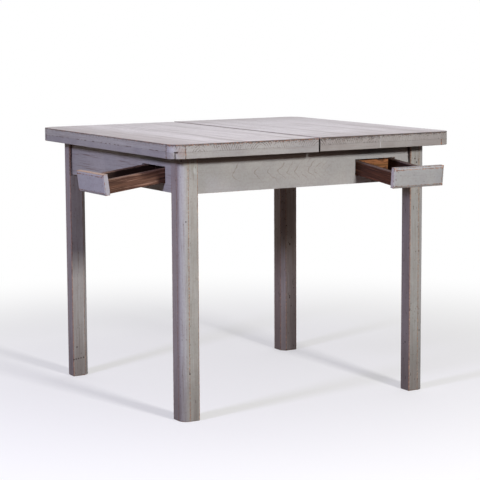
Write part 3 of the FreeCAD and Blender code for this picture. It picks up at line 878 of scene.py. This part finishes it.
# Filler on one leg, and the dirt of years in the corner between another and its apron.
leg_patches = {
    "front_left": [(Vector((-0.361, -0.3875, 0.703)), 13 * mm, 0.4, "#c6cbca")],
    "back_left": [(Vector((-0.409, 0.3325, z * mm)), 8 * mm, 0.85, "#3a2a24") for z in range(640, 741, 12)],
}
for number, (place, leg) in enumerate(legs.items()):
    node = place + "_leg"
    low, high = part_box(node)
    x_sign, y_sign = (1 if middle > 0 else -1 for middle in (low + high).xy)
    outer_x, inner_x = (high.x, low.x) if x_sign > 0 else (low.x, high.x)
    outer_y, inner_y = (high.y, low.y) if y_sign > 0 else (low.y, high.y)
    corners = [
        (outer_x, outer_y, leg_outer_radius),
        (inner_x, outer_y, 1.5 * mm),
        (inner_x, inner_y + y_sign * leg_inner_flat, 0.8 * mm),
        (inner_x + x_sign * leg_inner_flat, inner_y, 0.8 * mm),
        (outer_x, inner_y, 1.5 * mm),
    ]
    all_sides = [1.0] * len(corners)
    no_side = [0.0] * len(corners)
    foot_end = (low.z, 2 * mm, 1.5 * mm, all_sides, no_side)
    top_end = (high.z, 0.4 * mm, 0, no_side, no_side)
    post = worn_prism("worn_" + node, corners, foot_end, top_end, step=12 * mm, rise=4 * mm,
                      side_wear=[0, 1.2 * mm, 0.5 * mm, 0.5 * mm, 1.2 * mm], tangent_wear=0.9,
                      tangent_reach=5 * mm, end_reach=5 * mm, seed=11.0 + number)
    # The leg paint holds painted shade on the left faces, towards the floor and under the top, and a painted
    # highlight on the round corner.
    leg_paint = painted_pine(node, up, right, *leg["paints"], left_face_shade=leg["left"],
                             corner_highlight=leg["corner"], rubbed=0.7, streaks=0.6, holes=leg["holes"],
                             patches=leg_patches.get(place, ()), pits=leg["pits"], foot=0.24,
                             overhang_shade=(apron_top, 18 * mm), rough=(0.54, 0.68), gloss=0.27,
                             worn_tones=("#7a5744", "#ab8264"), worn_share=0.68)
    put_on(post, node, leg_paint)

# -------------------- aprons

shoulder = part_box("front_right_leg")[0].x
joint_gap, joint_foot, joint_reach = 6 * mm, 690 * mm, 12 * mm
joint_cuts = [(2, height) for height in (joint_foot - 8 * mm, joint_foot, 715 * mm, 728 * mm)]


def open_joint(place):
    """Where the apron has shrunk away from its right leg, more so towards the top."""
    from_shoulder = shoulder - place.x
    if not -0.1 * mm < from_shoulder < joint_reach or place.z < joint_foot - 1 * mm:
        return place
    rise = min(1.0, (place.z - joint_foot) / (45 * mm))
    share = 1 - max(0.0, from_shoulder) / joint_reach
    return Vector((place.x - joint_gap * (0.45 + 0.55 * rise) * share, place.y, place.z))


# The first tip, how fast the arches open, the radius of a tip, their pace and how far they run.
apron_arches = ((-0.245, 0.685, 0.0), 0.8, 7 * mm, (8.55, 77.9), 0.34)
# The aprons, here and below, are painted darker just under the top: painted shade of its overhang.
for side in ("front", "back"):
    paint_lengthwise = painted_pine(side + "_apron", right, up, "#a5a3a0", "#9d9c9a", rubbed=0.4,
                                    streaks=0.12, arches=apron_arches, arch_share=0.44,
                                    overhang_shade=(apron_top, 18 * mm))
    weathered(side + "_apron", paint_lengthwise, cuts=joint_cuts, shrink=open_joint)
paint_crosswise = painted_pine("short_aprons", back, up, "#a9a7a3", "#a1a09d", streaks=0.8,
                               overhang_shade=(apron_top, 9 * mm))
for side in ("left", "right"):
    weathered(side + "_apron", paint_crosswise)

# -------------------- top: boards and edge strips

bare_underside = "#5a4638"
seam_low, seam_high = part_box("left_top_board_inner")[1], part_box("right_top_board_inner")[0]
seam = ((seam_low.x + seam_high.x) / 2, seam_low.z)
seam_worn_back = 0.75 * mm
# Of each half: its direction, the paints of its edges and of its top, which is lighter as a painted sheen,
# how much darker it grows towards its end and its sides, the tones of its bare wood, how far its boards are
# rubbed and how strong their saw marks are, how far its round corners are rubbed, and where the filled joint
# of its boards is.
halves = {
    "left": {
        "sign": -1, "paints": ("#a09e9a", "#979593"), "top": ("#d3cac6", "#bdb3ad", "#8d7c73"),
        "rim_darkening": (0.9, 0.15), "tones": ("#1f140f", "#8e5737"), "rubbed": {"inner": 1.5, "outer": 1.5},
        "hatch": {"inner": 0.75, "outer": 0.75}, "rubbed_corners": 0.44, "filled_joint": None},
    "right": {
        "sign": 1, "paints": ("#999590", "#8e8985"), "top": ("#d6cecb", "#c3b9b4", "#8d7b73"),
        "rim_darkening": (0.2, 0.6), "tones": ("#1c130f", "#6a4a38"), "rubbed": {"inner": 1.68, "outer": 1.52},
        "hatch": {"inner": 0.7, "outer": 0.35}, "rubbed_corners": 0.2,
        "filled_joint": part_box("right_top_board_outer")[0].x},
}
left_low, left_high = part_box("left_top_board_outer")
corner_centre = left_low + Vector((top_corner_radius, top_corner_radius, 0))


def on_left_corner(degrees):
    """Point on the front left round corner of the top, under its board, in a direction."""
    turn = math.radians(degrees)
    return corner_centre + top_corner_radius * Vector((math.cos(turn), math.sin(turn), 0))


# The split at that corner, which runs under the board and then down the strips, and what is round it.
corner_split = [on_left_corner(-135 + 3.2 * step) for step in range(4)]
corner_split += [corner_split[0] - up * step * 2.4 * mm for step in range(1, 8)]
corner_chips = [Vector((left_low.x, corner_centre.y, left_high.z - drop)) for drop in (1 * mm, 5 * mm)]
corner_highlight_and_patch = [
    # A painted highlight of the left lamp, pale blue, on the round corner, and below a patch of thin brown
    # paint.
    (on_left_corner(-155), 17 * mm, 0.3, "#c3c5ca"),
    (on_left_corner(-108), 14 * mm, 0.4, "#84685b"),
]
split_marks = {"holes": corner_split, "patches": corner_highlight_and_patch}
for half_name, half in halves.items():
    sign = half["sign"]
    low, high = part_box(half_name + "_top_board_outer")
    end_x = high.x if sign > 0 else low.x
    round_x = end_x - sign * top_corner_radius
    front_round_y, back_round_y = low.y + top_corner_radius, high.y - top_corner_radius
    round_starts = [(round_x, low.y), (round_x, high.y), (end_x, back_round_y), (end_x, front_round_y)]
    round_cuts = [(0, round_x - sign * stop) for stop in arris_stops]
    round_cuts += [(1, back_round_y - stop) for stop in arris_stops]
    round_cuts += [(1, front_round_y + stop) for stop in arris_stops]
    for place in ("inner", "outer"):
        node = half_name + "_top_board_" + place
        low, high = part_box(node)
        at_end = place == "outer"
        marks = dict(split_marks, chips=corner_chips) if at_end and half_name == "left" else {}
        far_radius = top_corner_radius if at_end else 0.6 * mm
        outer, inner = (high.x, low.x) if sign > 0 else (low.x, high.x)
        if not at_end:
            inner += sign * seam_worn_back
        corners = [
            (inner, low.y, 0.6 * mm),
            (outer, low.y, far_radius),
            (outer, high.y, far_radius),
            (inner, high.y, 0.6 * mm),
        ]
        # The sides in order: front edge, outer edge, back edge, and the edge at the seam or the joint.
        high_wear = [1.0, 0.7 if at_end else 0.0, 0.5, 0.0 if at_end else 0.35]
        low_crack = [0.3, 0.75 if at_end else 0.0, 0.3, 0.0]
        low_end = (low.z, 0.4 * mm, 0.6 * mm, [0.2, 0.2, 0.2, 0.0], low_crack)
        high_end = (high.z, 1.2 * mm, 1.6 * mm, high_wear, [0.0] * 4)
        board = worn_prism("worn_" + node, corners, low_end, high_end, step=2.5 * mm,
                           tangent_wear=half["rubbed_corners"], end_reach=9 * mm, seed=21.0 + sign)
        middle = (low + high) / 2
        # Arches run the length of the board, with their tips near its middle.
        board_arches = ((low.y - 0.1, middle.x, 0.0), 0.12, 18 * mm, (17, 0), 2.0)
        board_paint = painted_pine(node, back, right, *half["paints"], half["top"], under=bare_underside,
                                   rubbed=half["rubbed"][place], streaks=0.6, arches=board_arches,
                                   hatch=half["hatch"][place], heart_line=(0.0, middle.x, 0.03 - low.z),
                                   rough=(0.42, 0.6), gloss=0.4, sheen=0.15, chip_size=2.7 * mm,
                                   filled_joint=half["filled_joint"], seam=seam, rim_darkening=half["rim_darkening"],
                                   worn_tones=half["tones"], **marks)
        put_on(board, node, board_paint)
    corner = Vector((end_x, low.y))

    def open_mitre(point):
        """Where the two strips at a front corner have drawn apart, and where they are worn at the seam."""
        if abs(point.x - seam[0]) < 2 * mm:
            return point + right * sign * seam_worn_back
        reach_x, reach_y = abs(point.x - corner.x), abs(point.y - corner.y)
        if abs(reach_x - reach_y) > 0.1 * mm or reach_x > 60 * mm:
            return point
        if place == "outer":
            return point + back * mitre_gap
        return point - right * sign * mitre_gap

    for place in ("front", "back", "outer"):
        node = half_name + "_edge_strip_" + place
        marks = split_marks if place == "front" and half_name == "left" else {}
        strip_paint = painted_pine(node, back if place == "outer" else right, up, *half["paints"],
                                   under=bare_underside, rubbed=0.9, streaks=0.3, seam=seam,
                                   filled_joint=half["filled_joint"] if place == "front" else None, **marks)
        weathered(node, strip_paint, wear=lambda place: 0.4, lines=round_starts,
                  cuts=round_cuts, shrink=open_mitre)

# -------------------- drawers

# Stain, shade, fine lines and rubbed rims of the wood of the boxes and of two of the backs.
reddish_wood = ("#634536", "#4b3227", "#a5806c", "#82685a")
dark_wood = ("#4f2e20", "#3a2017", "#7e5743", "#75645c")
rough_wood = ("#9e6742", "#704a2d", "#bb7f49", "#6e5039")
# Of each drawer: the way it looks, its paint, shade and paint of the ends, which is painted light, how far
# its top rim is rubbed by hands, the wood of its box and how dark its inside is painted as painted shade.
# The left one is paler with use.
grey_front, pale_front = ("#9e9f9e", "#959697", "#c9c4bf"), ("#a8a8a8", "#9f9fa0", "#a5a3a8")
drawers = {
    "front": (-back, grey_front, 0.0, dark_wood, 0.6),
    "right": (right, grey_front, 0.0, reddish_wood, 0.85),
    "back": (back, grey_front, 0.0, dark_wood, 0.6),
    "left": (-right, pale_front, 0.8, reddish_wood, 0.85),
}
for side, (outward, (paint, shade, end_light_paint), handled, wood, inner_shade) in drawers.items():
    drawer = side + "_drawer_"
    out = Vector(joints[drawer + "slide"]["axis"]).normalized()
    across = Vector((-outward.y, outward.x, 0))
    if out.cross(across).z < 0:
        across = -across
    rise = out.cross(across)
    drawer_axes = (out, across, rise)
    box_wood = stained_pine("stained_pine_of_" + side + "_drawer", out, across, *wood)
    front_paint = painted_pine(drawer + "front", across, rise, paint, shade, end_light_paint=end_light_paint, rubbed=1.0,
                               streaks=0.15, pits=0.6, worn_tones=("#6a4431", "#b4774a"), worn_share=0.75,
                               chips=foot_corners(drawer + "front", out, across, rise), handled=handled)
    low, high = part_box(drawer + "front")
    front_middle = rise.dot((low + high) / 2)
    box_corners = [corner for name in ("left_side", "right_side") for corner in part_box(drawer + name)]
    walls = sorted(across.dot(corner) for corner in box_corners)
    box_middle, box_half = (walls[0] + walls[-1]) / 2, (walls[-1] - walls[0]) / 2

    def upper_rim(place):
        """Full wear above the middle of the drawer and little below it."""
        return 1.0 if rise.dot(place) > front_middle else 0.3

    def front_rim(place):
        """Most wear along the top of a drawer front, and a little less along its foot and at its ends."""
        height = rise.dot(place) - front_middle
        if abs(height) < 21 * mm:
            return 0.6
        return 1.0 if height > 0 else 0.9

    def shade_inside_box(place):
        """Painted shade on the inner faces of the box."""
        from_middle = abs(across.dot(place) - box_middle)
        return inner_shade if from_middle < box_half - 5 * mm else 0.0

    for name in ("left_side", "right_side", "bottom"):
        weathered(drawer + name, box_wood, drawer_axes, upper_rim, painted_shade=shade_inside_box)
    if side in ("left", "right"):
        weathered(drawer + "back", box_wood, drawer_axes, upper_rim, painted_shade=shade_inside_box)
    else:
        old_wood = stained_pine("rough_pine_of_" + drawer + "back", across, out, *rough_wood, blotches=0.8)
        weathered(drawer + "back", old_wood, drawer_axes, upper_rim)
    weathered(drawer + "front", front_paint, drawer_axes, front_rim)

# -------------------- view settings and end

bpy.context.scene.view_settings.view_transform = "Standard"
